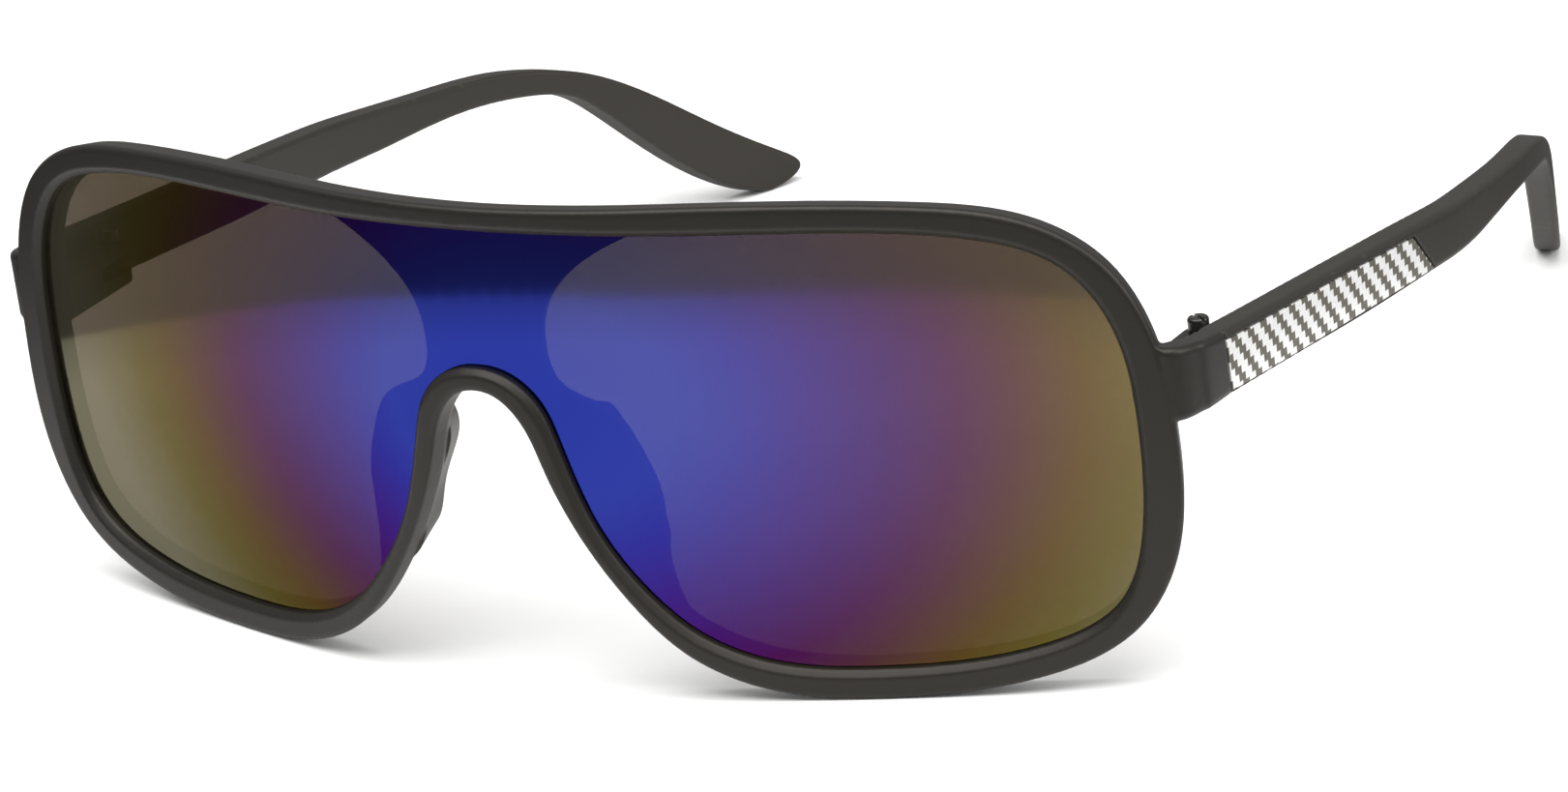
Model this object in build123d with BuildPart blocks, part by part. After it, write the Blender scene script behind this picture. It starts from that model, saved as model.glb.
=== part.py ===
from build123d import *
import os
from math import asin, cos, degrees, radians, sin, sqrt

os.makedirs("parts", exist_ok=True)

# Sunglasses standing open on a table. X is sideways (+X is the wearer's left), +Y runs back
# along the temples, Z is up. Origin: middle of the overall footprint, at table level.

# Front: a layer bent round two radii, leaning back
FRONT_Y = -73.43  # foremost line of the front face at table level
LEAN = 1.1  # degrees the front leans back
BRIDGE_R = 82.0  # bend radius over the nose
BRIDGE_HALF = 22.0  # half width of the tightly bent middle
SIDE_R = 800.0  # almost flat bend of the eye areas
BAND_HALF = 84.0  # how far the bent layer is drawn sideways
OUTER_APEX = 160.0  # where the lines of the rim's outer walls meet, behind the front
INNER_APEX = 223.0  # the same for the walls round the lens
APEX_Z = 27.0
RIM_DEPTH = 4.0  # front face to back face of the rim
FRONT_ROUND = 0.6  # rounding of the rim's outer front edge
BACK_ROUND = 1.2  # rounding of the rim's outer back edge
WALLS_FROM = -6.0  # depths between which the tapering walls are drawn
WALLS_TO = 26.0
TALL = 70.0  # more than the whole height or width of any piece

PAD_FRONT = 4.6  # depth where the nose pads leave the web
PAD_BACK = 9.5
PAD_ROUND = 0.7

# Lens seat
LENS_SET_BACK = 1.7
LENS_THICK = 1.1
LENS_PLAY = 0.02  # gap on each face of the lens
LIP_SLANT = 0.7  # width and depth of the slanted edge in front of the lens
GROOVE = 0.7  # groove depth round the lens
LENS_EDGE_GAP = 0.08
WEB_ROOT = 0.35  # how far the web's plate reaches into the rim

# Hinges
PIN_X = 69.0
PIN_Y = FRONT_Y + 32.75
BARREL_R = 1.9
BARREL_LOW = 29.0
BARREL_TOP = 33.9
KNUCKLE_LOW = 30.6
KNUCKLE_TOP = 32.3
KNUCKLE_PLAY = 0.06
SPLIT_DEPTH = 28.35  # joint line between end piece and temple
SPLIT_GAP = 0.08
SCREW_R = 0.7
HEAD_R = 1.15
HEAD_HIGH = 1.7
HEAD_ROUND = 0.4
SCREW_END = 29.3
SCREW_PLAY = 0.05  # round the screw in the upper lug and in the knuckle
SCREW_HOLD = 0.01  # round the screw in the lower lug, which holds it
SLOT_WIDE = 0.45
SLOT_DEEP = 0.5
SLOT_TURN = 60.0  # degrees
BLOCK_IN_X = 67.2  # block inside the end piece that the lugs stand on
BLOCK_OUT_X = 72.0
BLOCK_FRONT = 21.0
LUG_WIDE = 3.6  # arm that joins a lug to that block
LUG_LONG = 5.6
KNUCKLE_WIDE = 3.0  # arm that joins the knuckle to the temple
KNUCKLE_LONG = 4.9

# Temples
SIDE_X = 74.6  # flat outer face of the temple
TEMPLE_IN_X = 71.2
TEMPLE_FRONT = SPLIT_DEPTH + SPLIT_GAP
TEMPLE_ROUND = 0.7
TEMPLE_IN_ROUND = 0.4
INLAY_DEEP = 0.7
INLAY_GAP = 0.05
END_SEAM = 0.4  # open seam behind the inlay's slanted end

TILTED = Plane(
    origin=(0, FRONT_Y, 0),
    x_dir=(1, 0, 0),
    z_dir=(0, sin(radians(LEAN)), cos(radians(LEAN))),
)
FACING = Plane(origin=(0, FRONT_Y - 10, 0), x_dir=(1, 0, 0), z_dir=(0, -1, 0))
SIDEWAYS = Plane(origin=(30, FRONT_Y, 0), x_dir=(0, 1, 0), z_dir=(1, 0, 0))
RECESS_FLOOR = Plane(origin=(SIDE_X - INLAY_DEEP, FRONT_Y, 0), x_dir=(0, 1, 0), z_dir=(1, 0, 0))
PLAN = Plane(origin=(0, FRONT_Y, -5))


def wrap_band(near, far):
    """Plan of the bent layer between two depths behind the front face."""
    bend = degrees(asin(BRIDGE_HALF / BRIDGE_R))
    side_cx = (BRIDGE_R - SIDE_R) * sin(radians(bend))
    side_cy = BRIDGE_R - (BRIDGE_R - SIDE_R) * cos(radians(bend))
    sweep_angle = degrees(asin((BAND_HALF - side_cx) / SIDE_R)) - bend
    with BuildSketch(TILTED) as band:
        with BuildLine():
            for depth in (near, far):
                CenterArc((0, BRIDGE_R), BRIDGE_R - depth, 270 - bend, 2 * bend)
                CenterArc((side_cx, side_cy), SIDE_R - depth, 270 + bend, sweep_angle)
                CenterArc((-side_cx, side_cy), SIDE_R - depth, 270 - bend, -sweep_angle)
            for side in (-1, 1):
                turn = radians(270 + side * (bend + sweep_angle))
                ends = [
                    (
                        side * side_cx + (SIDE_R - depth) * cos(turn),
                        side_cy + (SIDE_R - depth) * sin(turn),
                    )
                    for depth in (near, far)
                ]
                Line(*ends)
        make_face()
    return band.sketch


def wrap_depth(x):
    """How far the front face lies behind its foremost line at a distance x from the middle."""
    if abs(x) < BRIDGE_HALF:
        return BRIDGE_R - sqrt(BRIDGE_R**2 - x**2)
    bend = asin(BRIDGE_HALF / BRIDGE_R)
    side_cx = (BRIDGE_R - SIDE_R) * sin(bend)
    side_cy = BRIDGE_R - (BRIDGE_R - SIDE_R) * cos(bend)
    return side_cy - sqrt(SIDE_R**2 - (abs(x) - side_cx) ** 2)


def funnel(half_points, apex, grow=0.0):
    """Solid inside an outline on the front face, whose walls all point to an apex behind it.
    The outline is given by its +X half, and moved outwards by grow."""
    path = Spline(*half_points, tangents=((1, 0), (-1, 0)), mode=Mode.PRIVATE)
    with BuildPart() as body:
        for depth in (WALLS_FROM, WALLS_TO):
            ring = []
            for point in half_points:
                along = path.tangent_at(point)
                x = point[0] - grow * along.Y
                z = point[1] + grow * along.X
                shrink = (apex - depth) / (apex - wrap_depth(x))
                ring.append((x * shrink, APEX_Z + (z - APEX_Z) * shrink))
            with BuildSketch(FACING.offset(-10 - depth)):
                with BuildLine():
                    Spline(*ring, tangents=((1, 0), (-1, 0)))
                    mirror(about=Plane.YZ)
                make_face()
        loft(ruled=True)
    return body.part


def layer(walls, near, far):
    """The part of the bent layer between two depths that lies inside a funnel."""
    with BuildPart() as body:
        extrude(wrap_band(near, far), amount=TALL, both=True)
        add(walls, mode=Mode.INTERSECT)
    return body.part


RIM_OUTSIDE = (
    (0, 55), (35, 54.9), (50, 54.1), (61, 51.8), (68, 46.6), (71.8, 38.4), (73, 27),
    (71.8, 15.3), (67.3, 7.2), (57, 1.8), (40, -0.09), (29, 1), (20.5, 5.1), (14.9, 11.1),
    (10.4, 18.1), (7, 26), (5.3, 30.6), (2.8, 33.5), (0, 34.3),
)
RIM_INSIDE = (
    (0, 52.9), (28, 52.4), (44, 52), (55, 50.7), (63.5, 47.2), (68.2, 39.9), (69.6, 28.9),
    (69, 18.4), (65.6, 9.1), (56.5, 4.2), (40, 2.4), (28.5, 3.5), (20.6, 7.3), (15.8, 12.1),
    (11.8, 18.1), (8.3, 28), (6.8, 32.2), (4, 35.1), (0, 36.1),
)
# nose-side edge of each eye aperture behind the lens
WEB_EDGE = (
    (26, 53.9), (18.5, 50.9), (12.2, 47.5), (8.2, 43), (7.3, 38), (8.2, 34.7), (11, 32.9),
    (14.1, 31.3), (16.4, 27.5), (17.9, 23), (18.1, 15.5), (18.8, 10.8), (21.5, 6.1),
)

rim_walls = funnel(RIM_OUTSIDE, OUTER_APEX)
opening_walls = funnel(RIM_INSIDE, INNER_APEX, -LIP_SLANT)
groove_walls = funnel(RIM_INSIDE, INNER_APEX, GROOVE - LIP_SLANT)
lens_walls = funnel(RIM_INSIDE, INNER_APEX, GROOVE - LIP_SLANT - LENS_EDGE_GAP)
web_walls = funnel(RIM_INSIDE, INNER_APEX, WEB_ROOT - LIP_SLANT)

lens_near = LENS_SET_BACK
lens_far = LENS_SET_BACK + LENS_THICK


def rim_edges(ring, facing):
    """Edges of the rim's front (-1) or back (1) face, without the seams between its bends."""
    faces = ring.faces().filter_by(lambda face: facing * face.normal_at().Y > 0.5)
    return faces.edges().filter_by(GeomType.LINE, reverse=True)


def outer_edges(ring, facing):
    """The rim_edges on the outside of the rim."""
    walls = ring.faces().filter_by(lambda face: abs(face.normal_at().Y) < 0.5)
    outside = walls.sort_by(SortBy.AREA)[-1]
    return ShapeList(
        edge for edge in rim_edges(ring, facing) if any(edge.is_same(e) for e in outside.edges())
    )


def inner_edges(ring, facing):
    """The rim_edges round the lens."""
    outside = outer_edges(ring, facing)
    return ShapeList(
        edge for edge in rim_edges(ring, facing) if not any(edge.is_same(e) for e in outside)
    )


def long_way(edge):
    """True for an edge that runs mainly from front to back."""
    return abs(edge.tangent_at(0.5).Y) > 0.7


def web_body():
    """Moulded plate behind the lens, between the two eye apertures."""
    with BuildSketch(FACING) as between:
        with BuildLine():
            edge = Spline(*WEB_EDGE)
            Polyline(edge @ 0, (0, 53.9), (0, 6.1), edge @ 1)
        make_face()
        mirror(about=Plane.YZ)
    with BuildPart() as body:
        add(layer(web_walls, lens_far + LENS_PLAY, RIM_DEPTH))
        extrude(between.sketch, amount=TALL, both=True, mode=Mode.INTERSECT)
    return body.part


def pad_body():
    """One moulded nose pad, flaring away from the nose towards its back edge."""
    front = (
        (8.4, 32.2), (6.4, 29.2), (10.2, 19.4), (14.8, 12.2), (17, 12.4), (17.2, 20.5),
        (15, 27.4),
    )
    back = (
        (10.2, 30.4), (8.5, 28.2), (11.2, 20), (14, 14.8), (15.4, 14.8), (15.3, 20.8),
        (13.4, 26.6),
    )
    with BuildPart() as body:
        for depth, ring in ((PAD_FRONT, front), (PAD_BACK, back)):
            with BuildSketch(FACING.offset(-10 - depth)):
                with BuildLine():
                    Spline(*ring, periodic=True)
                make_face()
        loft()
        fillet(body.faces().sort_by(Axis.Y)[-1].edges(), radius=PAD_ROUND)
    return body.part


def end_piece_body():
    """Corner block that carries the hinge lugs."""
    with BuildPart() as body:
        with BuildSketch(PLAN):
            with BuildLine():
                outside = Spline(
                    (72.1, 19.4), (73.5, 20.6), (74.2, 23), (SIDE_X, SPLIT_DEPTH),
                    tangents=((1, 0.5), (0, 1)),
                )
                Polyline(outside @ 1, (71.6, SPLIT_DEPTH), (71.6, 25.4))
                inside = Spline((71.6, 25.4), (70.9, 22.9), (69, 20.6), tangents=((0, -1), (-1, -0.6)))
                Line(inside @ 1, outside @ 0)
            make_face()
        extrude(amount=TALL)
        with BuildSketch(SIDEWAYS):
            with BuildLine():
                top = Spline((17, 37.9), (22, 37.0), (SPLIT_DEPTH, 36.05))
                low = Spline((17, 29.2), (22, 29.2), (SPLIT_DEPTH, 29.05))
                Line(top @ 0, low @ 0)
                Line(top @ 1, low @ 1)
            make_face()
        extrude(amount=TALL, mode=Mode.INTERSECT)
        fillet(body.faces().sort_by(Axis.X)[-1].edges().filter_by(long_way), radius=TEMPLE_ROUND)
        with BuildSketch(Plane(origin=(0, FRONT_Y, BARREL_LOW))):
            with Locations(((BLOCK_IN_X + BLOCK_OUT_X) / 2, (BLOCK_FRONT + SPLIT_DEPTH) / 2)):
                Rectangle(BLOCK_OUT_X - BLOCK_IN_X, SPLIT_DEPTH - BLOCK_FRONT)
        extrude(amount=BARREL_TOP - BARREL_LOW)
        for low_z, top_z in ((BARREL_LOW, KNUCKLE_LOW), (KNUCKLE_TOP, BARREL_TOP)):
            with BuildSketch(Plane(origin=(PIN_X, PIN_Y, low_z))):
                Circle(BARREL_R)
                with Locations((-0.1, -LUG_LONG / 2)):
                    Rectangle(LUG_WIDE, LUG_LONG)
            extrude(amount=top_z - low_z)
        with Locations((PIN_X, PIN_Y, (KNUCKLE_TOP + BARREL_TOP) / 2)):
            Cylinder(SCREW_R + SCREW_PLAY, BARREL_TOP - KNUCKLE_TOP, mode=Mode.SUBTRACT)
        with Locations((PIN_X, PIN_Y, (BARREL_LOW + KNUCKLE_LOW) / 2)):
            Cylinder(SCREW_R + SCREW_HOLD, KNUCKLE_LOW - BARREL_LOW, mode=Mode.SUBTRACT)
    return body.part


# 1 front frame: rim, web, pads and end pieces in one moulding
with BuildPart() as front_frame:
    add(layer(rim_walls, 0, RIM_DEPTH))
    add(layer(opening_walls, -4, RIM_DEPTH + 4), mode=Mode.SUBTRACT)
    chamfer(inner_edges(front_frame, -1), length=LIP_SLANT)
    fillet(outer_edges(front_frame, -1), radius=FRONT_ROUND)
    fillet(outer_edges(front_frame, 1), radius=BACK_ROUND)
    pad = pad_body()
    corner = end_piece_body()
    add(corner)
    add(mirror(corner, about=Plane.YZ, mode=Mode.PRIVATE))
    add(layer(opening_walls, -4, RIM_DEPTH), mode=Mode.SUBTRACT)
    add(web_body())
    add(pad)
    add(mirror(pad, about=Plane.YZ, mode=Mode.PRIVATE))
    add(layer(groove_walls, lens_near - LENS_PLAY, lens_far + LENS_PLAY), mode=Mode.SUBTRACT)
front_frame.part.label = "front_frame"
export_step(front_frame.part, "parts/front_frame.step")

# 2 one-piece shield lens
with BuildPart() as shield_lens:
    add(layer(lens_walls, lens_near, lens_far))
shield_lens.part.label = "shield_lens"
export_step(shield_lens.part, "parts/shield_lens.step")


def inlay_outline(gap, end_gap):
    """Side view of the inlay plate, grown by a gap round it and behind its slanted end."""
    with BuildSketch(RECESS_FLOOR) as outline:
        with BuildLine():
            top = Spline(
                (TEMPLE_FRONT, 35.05 + gap), (50, 32.6 + gap), (70.4 + end_gap, 30.2 + gap),
            )
            low = Spline(
                (TEMPLE_FRONT, 29.5 - gap), (50, 27.35 - gap), (74.4 + end_gap, 25.2 - gap),
            )
            Line(top @ 0, low @ 0)
            Line(top @ 1, low @ 1)
        make_face()
    return outline.sketch


# 3 left temple; the right one is its mirror image
with BuildPart() as left_temple:
    with BuildSketch(SIDEWAYS):
        with BuildLine():
            top = Spline(
                (TEMPLE_FRONT, 36.05), (45, 34.15), (60, 32.45), (79, 30.2), (100, 27.4), (112, 25.5),
                tangents=((1, -0.12), (1, -0.26)),
            )
            tip = Spline(
                top @ 1, (121, 22.3), (134, 12.5), (143.6, 4.8), (146.2, 1.9), (143, 0.2),
                (138.5, 1.3), (121, 18.2), (110, 22.6),
                tangents=((1, -0.26), (-1, 0.18)),
            )
            low = Spline(
                tip @ 1, (100, 23.7), (88, 23.95), (75, 24.75), (60, 25.9), (45, 27.4),
                (TEMPLE_FRONT, 29.05),
                tangents=((-1, 0.18), (-1, 0.1)),
            )
            Line(low @ 1, top @ 0)
        make_face()
    extrude(amount=TALL)
    with BuildSketch(PLAN):
        with BuildLine():
            outer = Spline(
                (SIDE_X, 78), (73.3, 91), (70.2, 108), (64.2, 124), (51.6, 149),
                tangents=((0, 1), (-0.45, 1)),
            )
            inner = Spline(
                (TEMPLE_IN_X, 78), (69.9, 90.6), (66.9, 107.1), (61.2, 122.5), (48.8, 148),
                tangents=((0, 1), (-0.45, 1)),
            )
            Line(outer @ 1, inner @ 1)
            Polyline(outer @ 0, (SIDE_X, 20), (TEMPLE_IN_X, 20), inner @ 0)
        make_face()
    extrude(amount=TALL, mode=Mode.INTERSECT)
    for facing, rounding in ((1, TEMPLE_ROUND), (-1, TEMPLE_IN_ROUND)):
        walls = left_temple.faces().filter_by(lambda face: facing * face.normal_at().X > 0.5)
        fillet(walls.edges().filter_by(lambda edge: edge.length > 20), radius=rounding)
    with BuildSketch(Plane(origin=(PIN_X, PIN_Y, KNUCKLE_LOW + KNUCKLE_PLAY))):
        Circle(BARREL_R)
        with Locations((KNUCKLE_WIDE / 2, 0.55)):
            Rectangle(KNUCKLE_WIDE, KNUCKLE_LONG)
    extrude(amount=KNUCKLE_TOP - KNUCKLE_LOW - 2 * KNUCKLE_PLAY)
    with Locations((PIN_X, PIN_Y, (KNUCKLE_LOW + KNUCKLE_TOP) / 2)):
        Cylinder(SCREW_R + SCREW_PLAY, KNUCKLE_TOP - KNUCKLE_LOW, mode=Mode.SUBTRACT)
    extrude(inlay_outline(INLAY_GAP, END_SEAM), amount=2, mode=Mode.SUBTRACT)
left_temple.part.label = "left_temple"
export_step(left_temple.part, "parts/left_temple.step")

with BuildPart() as right_temple:
    mirror(left_temple.part, about=Plane.YZ)
right_temple.part.label = "right_temple"
export_step(right_temple.part, "parts/right_temple.step")

# 4 flush decorative plates in the temples' outer faces
with BuildPart() as left_inlay:
    extrude(inlay_outline(0, 0), amount=INLAY_DEEP)
left_inlay.part.label = "left_inlay"
export_step(left_inlay.part, "parts/left_inlay.step")

with BuildPart() as right_inlay:
    mirror(left_inlay.part, about=Plane.YZ)
right_inlay.part.label = "right_inlay"
export_step(right_inlay.part, "parts/right_inlay.step")

# 5 hinge screws: slotted cylinder heads standing on the upper lugs
with BuildPart() as left_hinge_screw:
    with Locations((PIN_X, PIN_Y, BARREL_TOP + HEAD_HIGH / 2)):
        Cylinder(HEAD_R, HEAD_HIGH)
    fillet(left_hinge_screw.edges().sort_by(Axis.Z)[-1], radius=HEAD_ROUND)
    with Locations((PIN_X, PIN_Y, BARREL_TOP + HEAD_HIGH)):
        Box(SLOT_WIDE, 3 * HEAD_R, 2 * SLOT_DEEP, rotation=(0, 0, SLOT_TURN), mode=Mode.SUBTRACT)
    with Locations((PIN_X, PIN_Y, (SCREW_END + BARREL_TOP) / 2)):
        Cylinder(SCREW_R, BARREL_TOP - SCREW_END)
left_hinge_screw.part.label = "left_hinge_screw"
export_step(left_hinge_screw.part, "parts/left_hinge_screw.step")

with BuildPart() as right_hinge_screw:
    mirror(left_hinge_screw.part, about=Plane.YZ)
right_hinge_screw.part.label = "right_hinge_screw"
export_step(right_hinge_screw.part, "parts/right_hinge_screw.step")
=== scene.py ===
from math import asin, cos, pi, radians, sin, sqrt

import bmesh
import bpy
from mathutils import Matrix, Vector


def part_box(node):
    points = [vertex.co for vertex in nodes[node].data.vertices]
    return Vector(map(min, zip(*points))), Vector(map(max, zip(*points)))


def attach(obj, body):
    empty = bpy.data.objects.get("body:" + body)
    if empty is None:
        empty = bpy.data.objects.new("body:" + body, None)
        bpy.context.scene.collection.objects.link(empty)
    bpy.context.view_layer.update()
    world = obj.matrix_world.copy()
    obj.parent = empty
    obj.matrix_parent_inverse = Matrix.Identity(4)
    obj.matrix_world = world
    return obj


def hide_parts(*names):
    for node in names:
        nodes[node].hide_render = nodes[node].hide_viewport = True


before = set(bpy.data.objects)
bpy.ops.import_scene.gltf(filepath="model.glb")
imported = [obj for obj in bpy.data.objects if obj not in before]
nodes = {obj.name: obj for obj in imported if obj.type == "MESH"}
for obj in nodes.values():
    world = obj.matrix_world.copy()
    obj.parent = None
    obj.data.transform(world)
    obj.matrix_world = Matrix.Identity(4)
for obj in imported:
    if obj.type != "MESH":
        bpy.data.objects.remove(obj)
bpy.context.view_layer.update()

scene = bpy.context.scene
scene.view_settings.view_transform = "Standard"

# ---------------------------------------------------------------- shapes, in metres
BRIDGE_R = 0.082  # bend radius over the nose
BRIDGE_HALF = 0.022  # half width of the tightly bent middle
SIDE_R = 0.8  # almost flat bend of the eye areas
BEND_BLUR = 0.003  # step of the average that eases one bend into the other

LENS_STEP = 0.0015  # spacing of the cuts across the lens
LENS_FORWARD = 0.00035  # the lens stands this much nearer the front, against the rim's lip
LENS_SHARP = radians(40)  # edges bent more than this stay sharp in the shading

MOULD_VOXEL = 0.0002  # grid on which the moulded pieces are rebuilt
FRAME_SMOOTH = 3  # rounds of smoothing that give moulded edges
TEMPLE_SMOOTH = 4

INLAY_BEVEL = 0.00015
INLAY_BEVEL_FROM = radians(50)  # only edges bent more than this are eased
INLAY_SHARP = radians(35)

SAME_SPOT = 1e-7  # vertices nearer than this are one

# ---------------------------------------------------------------- colours and prints
FRAME_DARK, FRAME_PALE = (0.004, 0.0034, 0.0027), (0.0075, 0.0062, 0.0048)
TEMPLE_DARK, TEMPLE_PALE = (0.01, 0.009, 0.007), (0.016, 0.014, 0.011)
FRAME_ROUGHNESS = 0.36
TEMPLE_ROUGHNESS = 0.42
CLOUD_ROUGHNESS = 0.12  # how much rougher the plastic is in its pale clouds
GRAIN_ROUGHNESS = 0.08  # how much rougher it is on its grain
PLASTIC_GLOSS = (1.0, 0.94, 0.87, 1)  # slightly warm
SHARP_EDGE_FROM, SHARP_EDGE_TO = 0.52, 0.62  # pointiness at which an edge starts and ends to be paler
SHARP_EDGE_PALER = 2.2  # how many times paler the plastic is on sharp edges
BLACK = (0.0, 0.0, 0.0)

# Lens: its colours lie in flat ovals round a place over the nose
OVAL_Z = 0.033  # height of the ovals' centre
OVAL_FLAT = 1.4  # how many times wider than tall they are
OVAL_REACH = 0.08  # half width at which the last colour is reached
TURN_FROM = 0.1  # facing value at which the colours stay where they are
TURN_REACH = 0.042  # how far the colours shift inwards on a lens seen edge-on
MOTTLE_REACH = 0.0025  # how far fine spots shift them
MIRROR_COLOURS = (  # share of the reach, colour of the mirror coating
    (0.15, (0.016, 0.027, 0.225)),
    (0.28, (0.02, 0.03, 0.225)),
    (0.36, (0.021, 0.02, 0.2)),
    (0.46, (0.03, 0.011, 0.14)),
    (0.55, (0.036, 0.006, 0.09)),
    (0.63, (0.044, 0.005, 0.05)),
    (0.7, (0.051, 0.016, 0.026)),
    (0.78, (0.062, 0.036, 0.009)),
    (0.86, (0.073, 0.06, 0.014)),
    (1.0, (0.12, 0.112, 0.075)),
)
MIRROR_INSIDE = 0.15  # share of the mirror that is left when it is seen from behind
COAT_ROUGHNESS = 0.06
TINT_COLOURS = ((0.3, (0.036, 0.033, 0.0225)), (0.95, (0.06, 0.046, 0.036)))
PAINTED_SHADE_LOW, PAINTED_SHADE_HIGH = 0.004, 0.032  # heights between which the painted shadow on the lower lens clears
PAINTED_SHADE_LEFT = 0.4  # share of the tinted light that still comes through at the bottom, under the painted shadow
SHEET_CLEAR = (0.95, 0.95, 0.94, 1)  # what the uncoated faces let through
SHEET_GLOSS = (0.03, 0.03, 0.03, 1)  # and what they mirror
SHEET_ROUGHNESS = 0.05
COATED_BELOW = -0.5  # y of the normal of a face that is coated

# Twill printed on the temple plates
TWILL_PITCH = 0.0028  # from one light band to the next along the temple
TWILL_THREADS = 4  # threads in one pitch
TWILL_LIGHT = 0.55  # share of a thread that is light
TWILL_RISE = 0.0037  # height over which one thread repeats
TWILL_RELIEF = 0.00003

# ---------------------------------------------------------------- camera and stage
CAMERA_AZIMUTH = 33.31
CAMERA_ELEVATION = 20.9
CAMERA_ROLL = -8.05
CAMERA_DISTANCE = 0.8484
CAMERA_TARGET = Vector((0.0216, -0.04723, 0.0254))
LENS_MM = 184.55

WORLD_LIGHT = 0.5
FLOOR_HALF = 3.0
SURROUND_CENTRE = (0, -0.058, 0.0003)
SURROUND_INNER, SURROUND_OUTER = 0.12, 1.6  # radii of the ring
SURROUND_CLEAR, SURROUND_FULL = 0.128, 0.147  # radii between which its darkness fades in
SURROUND_SHARE = 0.82  # how much of the ring is dark beyond the fade
SURROUND_FADE_END = 0.4  # share of that darkness reached at the end of the fade
RING_SIDES = 96


def make_camera():
    data = bpy.data.cameras.new("camera")
    data.sensor_width = 36
    data.lens = LENS_MM
    data.clip_start = 0.01
    camera = bpy.data.objects.new("camera", data)
    scene.collection.objects.link(camera)
    turn = (
        Matrix.Rotation(radians(CAMERA_AZIMUTH), 4, "Z")
        @ Matrix.Rotation(radians(90 - CAMERA_ELEVATION), 4, "X")
        @ Matrix.Rotation(radians(CAMERA_ROLL), 4, "Z")
    )
    back = turn @ Vector((0, 0, 1))
    camera.matrix_world = Matrix.Translation(CAMERA_TARGET + back * CAMERA_DISTANCE) @ turn
    scene.camera = camera


# ---------------------------------------------------------------- node helpers
class Shader:
    """A new material whose nodes are added one call at a time."""

    def __init__(self, name):
        self.material = bpy.data.materials.new(name)
        self.material.use_nodes = True
        self.tree = self.material.node_tree
        self.tree.nodes.clear()

    def add(self, kind, inputs=None, out=0, **settings):
        """Adds one node, sets or links its inputs, and returns one of its outputs."""
        node = self.tree.nodes.new(kind)
        for key, value in settings.items():
            setattr(node, key, value)
        for key, value in (inputs or {}).items():
            if isinstance(value, bpy.types.NodeSocket):
                self.tree.links.new(value, node.inputs[key])
            else:
                node.inputs[key].default_value = value
        return node.outputs[out]

    def math(self, operation, a, b=0.0, c=0.0):
        return self.add("ShaderNodeMath", {0: a, 1: b, 2: c}, operation=operation)

    def fade(self, value, start, end, first, last):
        """Runs from first to last while the value runs from start to end."""
        return self.add(
            "ShaderNodeMapRange",
            {"Value": value, "From Min": start, "From Max": end, "To Min": first, "To Max": last},
        )

    def ramp(self, value, stops):
        """Colour ramp over (position, colour) stops."""
        out = self.add("ShaderNodeValToRGB", {"Fac": value})
        band = out.node.color_ramp
        while len(band.elements) < len(stops):
            band.elements.new(1.0)
        for element, (place, colour) in zip(band.elements, stops):
            element.position = place
            element.color = (*colour, 1)
        return out

    def mix(self, factor, a, b):
        """Colour between a and b."""
        out = self.add("ShaderNodeMix", data_type="RGBA", out=2)
        node = out.node
        for socket, value in ((node.inputs[0], factor), (node.inputs[6], a), (node.inputs[7], b)):
            if isinstance(value, bpy.types.NodeSocket):
                self.tree.links.new(value, socket)
            else:
                socket.default_value = value if isinstance(value, float) else (*value, 1)
        return out

    def noise(self, scale, detail):
        place = self.add("ShaderNodeTexCoord", out=3)
        return self.add(
            "ShaderNodeTexNoise", {"Vector": place, "Scale": scale, "Detail": float(detail)}
        )

    def place(self):
        """The x, y and z of the point in the piece's own coordinates."""
        spot = self.add("ShaderNodeTexCoord", out=3)
        split = self.add("ShaderNodeSeparateXYZ", {0: spot}).node
        return split.outputs[0], split.outputs[1], split.outputs[2]

    def distance(self, a, b):
        """Length of the diagonal over a and b."""
        squares = self.math("ADD", self.math("POWER", a, 2.0), self.math("POWER", b, 2.0))
        return self.math("SQRT", squares)

    def paler_sharp_edges(self, most):
        """0 on flat ground, up to most on sharp outer edges."""
        edge = self.add("ShaderNodeNewGeometry", out="Pointiness")
        return self.fade(edge, SHARP_EDGE_FROM, SHARP_EDGE_TO, 0.0, most)

    def bump(self, height, depth, strength):
        return self.add(
            "ShaderNodeBump", {"Height": height, "Distance": depth, "Strength": strength}
        )

    def finish(self, surface):
        node = self.tree.nodes.new("ShaderNodeOutputMaterial")
        self.tree.links.new(surface, node.inputs["Surface"])
        return self.material


# ---------------------------------------------------------------- materials
def plastic(name, dark, pale, roughness):
    """Black moulding plastic: fine grain, uneven sheen, sharp edges slightly paler."""
    s = Shader(name)
    cloud = s.noise(scale=55, detail=4)
    grain = s.noise(scale=5200, detail=2)
    colour = s.mix(cloud, dark, pale)
    sharp_edge_colour = tuple(SHARP_EDGE_PALER * part for part in pale)
    # Sharp outer edges are made paler
    colour = s.mix(s.paler_sharp_edges(most=0.5), colour, sharp_edge_colour)
    rough = s.math("MULTIPLY_ADD", cloud, CLOUD_ROUGHNESS, roughness)
    rough = s.math("MULTIPLY_ADD", grain, GRAIN_ROUGHNESS, rough)
    body = s.add(
        "ShaderNodeBsdfPrincipled",
        {
            "Base Color": colour,
            "Roughness": rough,
            "Specular IOR Level": 0.4,
            "Specular Tint": PLASTIC_GLOSS,
            "Normal": s.bump(grain, depth=0.000012, strength=0.6),
        },
    )
    return s.finish(body)


def clear_and_glossy(s, through, mirrored, roughness):
    """A surface that lets one colour through and mirrors another."""
    return s.add(
        "ShaderNodeAddShader",
        {
            0: s.add("ShaderNodeBsdfTransparent", {"Color": through}),
            1: s.add("ShaderNodeBsdfAnisotropic", {"Color": mirrored, "Roughness": roughness}),
        },
    )


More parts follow.
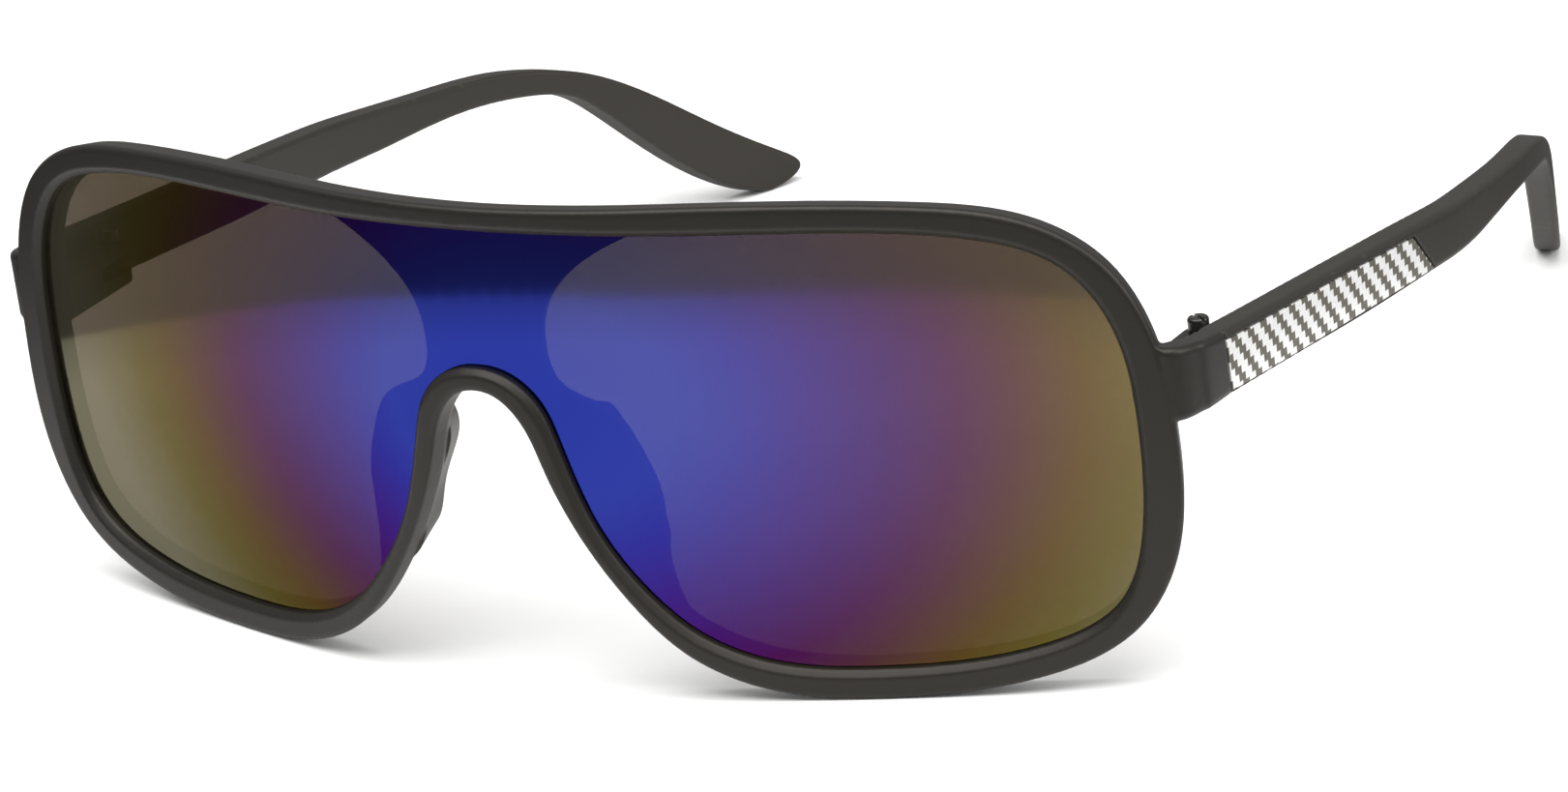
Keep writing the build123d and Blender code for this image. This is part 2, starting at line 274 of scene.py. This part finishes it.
def coated_lens(name):
    """Smoke-tinted sheet with a mirror coating on its front, blue over the nose and running
    through purple and bronze to olive at the sides."""
    s = Shader(name)
    x, _, z = s.place()
    inside = s.add("ShaderNodeNewGeometry", out="Backfacing")

    across = s.distance(x, s.math("MULTIPLY", s.math("SUBTRACT", z, OVAL_Z), OVAL_FLAT))
    facing = s.add("ShaderNodeLayerWeight", {"Blend": 0.5}, out="Facing")
    turned_away = s.math("SUBTRACT", facing, TURN_FROM)
    across = s.math("MULTIPLY_ADD", turned_away, TURN_REACH, across)
    mottle = s.math("SUBTRACT", s.noise(scale=900, detail=3), 0.5)
    across = s.math("MULTIPLY_ADD", mottle, MOTTLE_REACH, across)
    share = s.math("DIVIDE", across, OVAL_REACH)

    mirror = s.ramp(share, MIRROR_COLOURS)
    mirror = s.mix(inside, mirror, s.mix(1.0 - MIRROR_INSIDE, mirror, BLACK))
    # Painted shadow: the tint is darkened towards the bottom of the lens, standing for the shade
    # on the floor seen through it
    fade = s.fade(z, PAINTED_SHADE_LOW, PAINTED_SHADE_HIGH, PAINTED_SHADE_LEFT, 1.0)
    tint = s.mix(fade, BLACK, s.ramp(share, TINT_COLOURS))
    coat = clear_and_glossy(s, tint, mirror, COAT_ROUGHNESS)
    plain = clear_and_glossy(s, SHEET_CLEAR, SHEET_GLOSS, SHEET_ROUGHNESS)

    # The coating is on the faces that point to the front. The normal is turned round when a
    # face is seen from inside the sheet, so it is turned back first.
    normal = s.add("ShaderNodeTexCoord", out=1)
    normal_y = s.add("ShaderNodeSeparateXYZ", {0: normal}, out=1)
    turned_back = s.math("MULTIPLY_ADD", inside, -2.0, 1.0)
    coated = s.math("LESS_THAN", s.math("MULTIPLY", normal_y, turned_back), COATED_BELOW)
    return s.finish(s.add("ShaderNodeMixShader", {0: coated, 1: plain, 2: coat}))


def twill_print(name):
    """Printed twill: light and dark floats on upright threads, each thread stepped down from
    the one in front of it."""
    s = Shader(name)
    _, y, z = s.place()
    width = TWILL_PITCH / TWILL_THREADS
    thread = s.math("FLOOR", s.math("DIVIDE", y, width))
    drop = s.math("DIVIDE", thread, float(TWILL_THREADS))
    run = s.math("FRACT", s.math("ADD", s.math("DIVIDE", z, TWILL_RISE), drop))
    light = s.math("LESS_THAN", run, TWILL_LIGHT)
    across = s.math("FRACT", s.math("DIVIDE", y, width))
    crown = s.math("SINE", s.math("MULTIPLY", across, pi))
    fibre = s.noise(scale=3000, detail=3)
    silver = s.mix(fibre, (0.5, 0.5, 0.48), (0.78, 0.78, 0.77))
    ground = s.mix(fibre, (0.055, 0.05, 0.038), (0.1, 0.092, 0.072))
    height = s.math("ADD", s.math("MULTIPLY", light, 0.6), s.math("MULTIPLY", crown, 0.4))
    body = s.add(
        "ShaderNodeBsdfPrincipled",
        {
            "Base Color": s.mix(light, ground, silver),
            "Roughness": s.math("MULTIPLY_ADD", light, -0.12, 0.46),
            "Metallic": s.math("MULTIPLY", light, 0.25),
            "Specular IOR Level": 0.4,
            "Normal": s.bump(height, depth=TWILL_RELIEF, strength=0.5),
        },
    )
    return s.finish(body)


def black_steel(name):
    """Blackened screw steel with turning marks, paler on its sharp edges."""
    s = Shader(name)
    marks = s.noise(scale=9000, detail=2)
    cloud = s.noise(scale=700, detail=3)
    colour = s.mix(cloud, (0.02, 0.019, 0.018), (0.045, 0.042, 0.04))
    # Sharp outer edges are made paler
    colour = s.mix(s.paler_sharp_edges(most=0.8), colour, (0.3, 0.29, 0.27))
    body = s.add(
        "ShaderNodeBsdfPrincipled",
        {
            "Base Color": colour,
            "Metallic": 0.8,
            "Roughness": s.math("MULTIPLY_ADD", cloud, 0.2, 0.22),
            "Normal": s.bump(marks, depth=0.000008, strength=0.5),
        },
    )
    return s.finish(body)


def floor_paper(name):
    """White paper with a faint fibre."""
    s = Shader(name)
    fibre = s.noise(scale=140, detail=4)
    colour = s.mix(fibre, (0.86, 0.86, 0.855), (0.9, 0.9, 0.895))
    body = s.add(
        "ShaderNodeBsdfPrincipled",
        {"Base Color": colour, "Roughness": 0.9, "Specular IOR Level": 0.1},
    )
    return s.finish(body)


def darkness(name):
    """What lies beyond the lit table: fades in over a narrow ring, then stays dark."""
    s = Shader(name)
    x, y, _ = s.place()
    radius = s.distance(x, y)
    faded = SURROUND_FADE_END * SURROUND_SHARE
    fade = s.fade(radius, SURROUND_CLEAR, SURROUND_FULL, 0.0, faded)
    beyond = s.math("GREATER_THAN", radius, SURROUND_FULL)
    cover = s.math("MAXIMUM", fade, s.math("MULTIPLY", beyond, SURROUND_SHARE))
    clear = s.add("ShaderNodeBsdfTransparent")
    black = s.add("ShaderNodeBsdfDiffuse", {"Color": (*BLACK, 1)})
    return s.finish(s.add("ShaderNodeMixShader", {0: cover, 1: clear, 2: black}))


# ---------------------------------------------------------------- pieces
def copy_of(node, name):
    """A new object with the shape of a CAD node, its doubled vertices joined."""
    mesh = bpy.data.meshes.new(name)
    work = bmesh.new()
    work.from_mesh(nodes[node].data)
    bmesh.ops.remove_doubles(work, verts=work.verts, dist=SAME_SPOT)
    work.verts.index_update()
    faces = [[vertex.index for vertex in face.verts] for face in work.faces]
    mesh.from_pydata([vertex.co for vertex in work.verts], [], faces)
    work.free()
    piece = bpy.data.objects.new(name, mesh)
    scene.collection.objects.link(piece)
    return piece


def bake_modifiers(piece):
    """Replaces the piece's mesh by the result of its modifiers."""
    bpy.context.view_layer.update()
    shaped = piece.evaluated_get(bpy.context.evaluated_depsgraph_get())
    mesh = bpy.data.meshes.new_from_object(shaped)
    piece.modifiers.clear()
    piece.data = mesh


def dress(piece, material, body, node):
    """Gives a piece its material and makes it stand for a CAD node on its body."""
    piece.data.materials.clear()
    piece.data.materials.append(material)
    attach(piece, body)
    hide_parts(node)


def moulded(node, name, rounds):
    """The CAD solid as it comes from a mould: every edge and inner corner softly rounded."""
    piece = copy_of(node, name)
    remesh = piece.modifiers.new("remesh", "REMESH")
    remesh.mode = "VOXEL"
    remesh.voxel_size = MOULD_VOXEL
    smooth = piece.modifiers.new("smooth", "SMOOTH")
    smooth.factor = 0.5
    smooth.iterations = rounds
    bake_modifiers(piece)
    piece.data.shade_smooth()
    return piece


def bend_depth(x):
    """How far the bent front lies behind its foremost line at a distance x from the middle."""
    x = abs(x)
    if x < BRIDGE_HALF:
        return BRIDGE_R - sqrt(BRIDGE_R**2 - x**2)
    bend = asin(BRIDGE_HALF / BRIDGE_R)
    side_x = (BRIDGE_R - SIDE_R) * sin(bend)
    side_y = BRIDGE_R - (BRIDGE_R - SIDE_R) * cos(bend)
    return side_y - sqrt(SIDE_R**2 - (x - side_x) ** 2)


def eased_depth(x):
    """bend_depth averaged over neighbouring places, so that the two bends flow together."""
    return sum(bend_depth(x + step * BEND_BLUR) for step in (-2, -1, 0, 1, 2)) / 5


def lens_sheet(node, name):
    """The lens cut into a fine grid and bent smoothly, so that reflections flow over it."""
    piece = copy_of(node, name)
    low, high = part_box(node)
    work = bmesh.new()
    work.from_mesh(piece.data)
    for axis, lowest, highest in (((1, 0, 0), low.x, high.x), ((0, 0, 1), low.z, high.z)):
        steps = int((highest - lowest) / LENS_STEP)
        for i in range(1, steps):
            at = Vector(axis) * (lowest + i * (highest - lowest) / steps)
            bmesh.ops.bisect_plane(
                work,
                geom=work.verts[:] + work.edges[:] + work.faces[:],
                plane_co=at,
                plane_no=axis,
                dist=SAME_SPOT,
            )
    centre = eased_depth(0) - bend_depth(0)
    for vertex in work.verts:
        eased = eased_depth(vertex.co.x) - bend_depth(vertex.co.x)
        vertex.co.y += eased - centre - LENS_FORWARD
    work.to_mesh(piece.data)
    work.free()
    piece.data.shade_smooth()
    piece.data.set_sharp_from_angle(angle=LENS_SHARP)
    return piece


def inlay_plate(node, name):
    """The flush plate with its edges eased."""
    piece = copy_of(node, name)
    bevel = piece.modifiers.new("bevel", "BEVEL")
    bevel.width = INLAY_BEVEL
    bevel.segments = 3
    bevel.angle_limit = INLAY_BEVEL_FROM
    bake_modifiers(piece)
    piece.data.shade_smooth()
    piece.data.set_sharp_from_angle(angle=INLAY_SHARP)
    return piece


frame_plastic = plastic("frame_plastic", FRAME_DARK, FRAME_PALE, FRAME_ROUGHNESS)
temple_plastic = plastic("temple_plastic", TEMPLE_DARK, TEMPLE_PALE, TEMPLE_ROUGHNESS)
twill = twill_print("twill_print")
steel = black_steel("black_steel")

front = moulded("front_frame", "moulded_front", FRAME_SMOOTH)
dress(front, frame_plastic, "front", "front_frame")

lens = lens_sheet("shield_lens", "coated_shield_lens")
dress(lens, coated_lens("coated_lens"), "front", "shield_lens")

for side in ("left", "right"):
    temple = moulded(side + "_temple", side + "_moulded_temple", TEMPLE_SMOOTH)
    dress(temple, temple_plastic, side + "_temple", side + "_temple")
    plate = inlay_plate(side + "_inlay", side + "_printed_plate")
    dress(plate, twill, side + "_temple", side + "_inlay")
    for slot in nodes[side + "_hinge_screw"].material_slots:
        slot.material = steel


# ---------------------------------------------------------------- studio
def area_light(name, place, aim, size, power):
    data = bpy.data.lights.new(name, "AREA")
    data.shape = "RECTANGLE"
    data.size, data.size_y = size
    data.energy = power
    lamp = bpy.data.objects.new(name, data)
    scene.collection.objects.link(lamp)
    lamp.location = place
    lamp.rotation_euler = (Vector(aim) - Vector(place)).to_track_quat("-Z", "Y").to_euler()


def stage_piece(name, points, faces, material):
    """A flat thing that belongs to the stage, not to the object."""
    mesh = bpy.data.meshes.new(name)
    mesh.from_pydata(points, [], faces)
    mesh.materials.append(material)
    piece = bpy.data.objects.new(name, mesh)
    scene.collection.objects.link(piece)
    return piece


def circle(radius):
    """Points of a flat circle round the origin."""
    turns = [2 * pi * i / RING_SIDES for i in range(RING_SIDES)]
    return [(radius * cos(turn), radius * sin(turn), 0) for turn in turns]


make_camera()
area_light(
    "overhead_softbox", place=(0.05, -0.2, 0.6), aim=(0, 0, 0.02), size=(0.9, 0.5), power=6.5
)
area_light(
    "side_softbox", place=(0.6, 0.1, 0.3), aim=(0.06, 0.02, 0.02), size=(0.4, 0.4), power=2.2
)
world = bpy.data.worlds.new("studio")
scene.world = world
world.use_nodes = True
world.node_tree.nodes["Background"].inputs["Color"].default_value = (1, 1, 1, 1)
world.node_tree.nodes["Background"].inputs["Strength"].default_value = WORLD_LIGHT

corners = [(x * FLOOR_HALF, y * FLOOR_HALF, 0) for x, y in ((-1, -1), (1, -1), (1, 1), (-1, 1))]
stage_piece("floor", corners, [(0, 1, 2, 3)], floor_paper("floor_paper"))

# A ring of darkness beyond the lit table, which only the glossy parts mirror
ring_faces = []
for i in range(RING_SIDES):
    j = (i + 1) % RING_SIDES
    ring_faces.append((i, RING_SIDES + i, RING_SIDES + j, j))
surround = stage_piece(
    "dark_surround",
    circle(SURROUND_INNER) + circle(SURROUND_OUTER),
    ring_faces,
    darkness("dark_surround"),
)
surround.location = SURROUND_CENTRE
surround.visible_camera = False
surround.visible_diffuse = False
surround.visible_transmission = False
surround.visible_shadow = False
